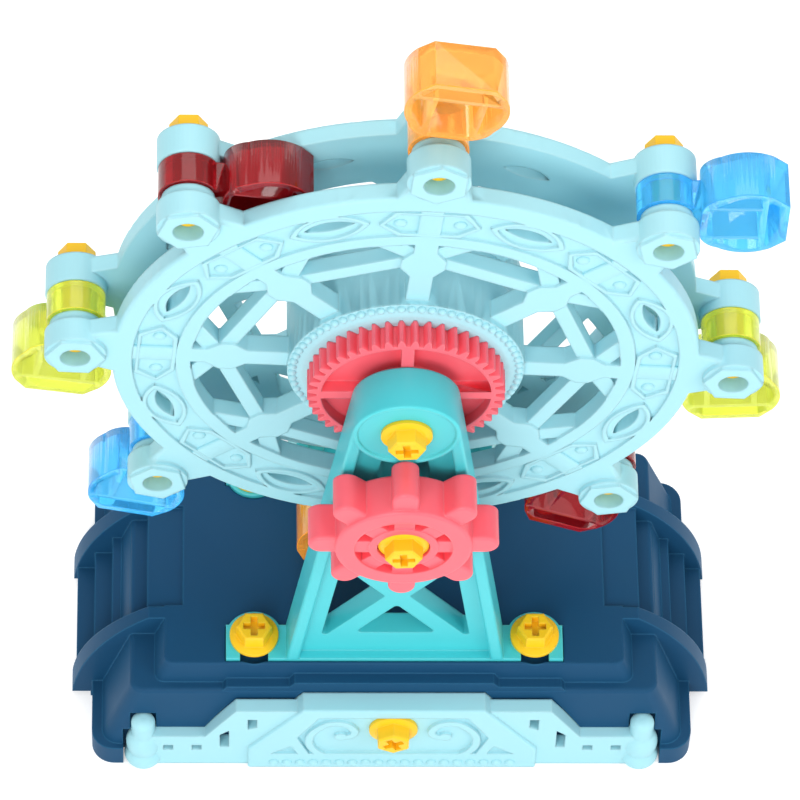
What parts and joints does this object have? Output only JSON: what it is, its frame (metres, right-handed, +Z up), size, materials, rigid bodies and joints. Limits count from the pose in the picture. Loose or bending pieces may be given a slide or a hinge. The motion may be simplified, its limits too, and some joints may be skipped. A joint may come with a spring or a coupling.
{
  "type": "crank ferris wheel toy",
  "caption": "Tabletop ferris wheel toy: a crank knob turns a pinion and gear that spin a two-sided openwork wheel with swinging gondolas between A-frame towers on a stepped base.",
  "frame": {"origin": "on the ground under the middle of the base, below the wheel axle", "axes": "+Z up; X along the base and across the wheel; +Y away from the crank side; the wheel axle runs along Y"},
  "size_m": [0.2266, 0.1054, 0.3091],
  "materials": {
    "base_navy": "satin moulded plastic",
    "tower_turquoise": "satin moulded plastic",
    "wheel_aqua": "satin moulded plastic",
    "gear_coral": "satin moulded plastic",
    "bolt_yellow": "satin moulded plastic",
    "axle_grey": "plain moulded plastic",
    "gondola_orange": "clear tinted plastic",
    "gondola_red": "clear tinted plastic",
    "gondola_blue": "clear tinted plastic",
    "gondola_lime": "clear tinted plastic"
  },
  "bodies": {
    "stand": {"base_housing": "base_navy", "front_tower": "tower_turquoise", "rear_tower": "tower_turquoise", "front_fence": "wheel_aqua", "foot_bolts": "bolt_yellow", "fence_bolt": "bolt_yellow", "main_axle": "axle_grey", "front_axle_bolt": "bolt_yellow", "rear_axle_bolt": "bolt_yellow"},
    "wheel": {"wheel_front_disc": "wheel_aqua", "wheel_rear_disc": "wheel_aqua", "drive_gear": "gear_coral", "gondola_bolts": "bolt_yellow"},
    "crank": {"crank_knob": "gear_coral", "pinion_gear": "gear_coral", "knob_bolt": "bolt_yellow"},
    "car_1": {"gondola_1": "gondola_lime"},
    "car_2": {"gondola_2": "gondola_blue"},
    "car_3": {"gondola_3": "gondola_orange"},
    "car_4": {"gondola_4": "gondola_red"},
    "car_5": {"gondola_5": "gondola_lime"},
    "car_6": {"gondola_6": "gondola_blue"},
    "car_7": {"gondola_7": "gondola_orange"},
    "car_8": {"gondola_8": "gondola_red"}
  },
  "joints": [
    {"name": "wheel_spin", "type": "hinge", "parent": "stand", "child": "wheel", "pos_m": [0, 0, 0.17802], "axis": [0, -1, 0], "continuous": true},
    {"name": "crank_spin", "type": "hinge", "parent": "stand", "child": "crank", "pos_m": [0, 0, 0.13802], "axis": [0, -1, 0], "continuous": true},
    {"name": "gondola_swing_1", "type": "hinge", "parent": "wheel", "child": "car_1", "pos_m": [0.09577, 0, 0.17137], "axis": [0, -1, 0], "continuous": true},
    {"name": "gondola_swing_2", "type": "hinge", "parent": "wheel", "child": "car_2", "pos_m": [0.07242, 0, 0.24104], "axis": [0, -1, 0], "continuous": true},
    {"name": "gondola_swing_3", "type": "hinge", "parent": "wheel", "child": "car_3", "pos_m": [0.00665, 0, 0.27379], "axis": [0, -1, 0], "continuous": true},
    {"name": "gondola_swing_4", "type": "hinge", "parent": "wheel", "child": "car_4", "pos_m": [-0.06302, 0, 0.25044], "axis": [0, -1, 0], "continuous": true},
    {"name": "gondola_swing_5", "type": "hinge", "parent": "wheel", "child": "car_5", "pos_m": [-0.09577, 0, 0.18467], "axis": [0, -1, 0], "continuous": true},
    {"name": "gondola_swing_6", "type": "hinge", "parent": "wheel", "child": "car_6", "pos_m": [-0.07242, 0, 0.115], "axis": [0, -1, 0], "continuous": true},
    {"name": "gondola_swing_7", "type": "hinge", "parent": "wheel", "child": "car_7", "pos_m": [-0.00665, 0, 0.08225], "axis": [0, -1, 0], "continuous": true},
    {"name": "gondola_swing_8", "type": "hinge", "parent": "wheel", "child": "car_8", "pos_m": [0.06302, 0, 0.1056], "axis": [0, -1, 0], "continuous": true}
  ],
  "couplings": [
    {"joint": "crank_spin", "follows": "wheel_spin", "ratio": -2.2}
  ]
}
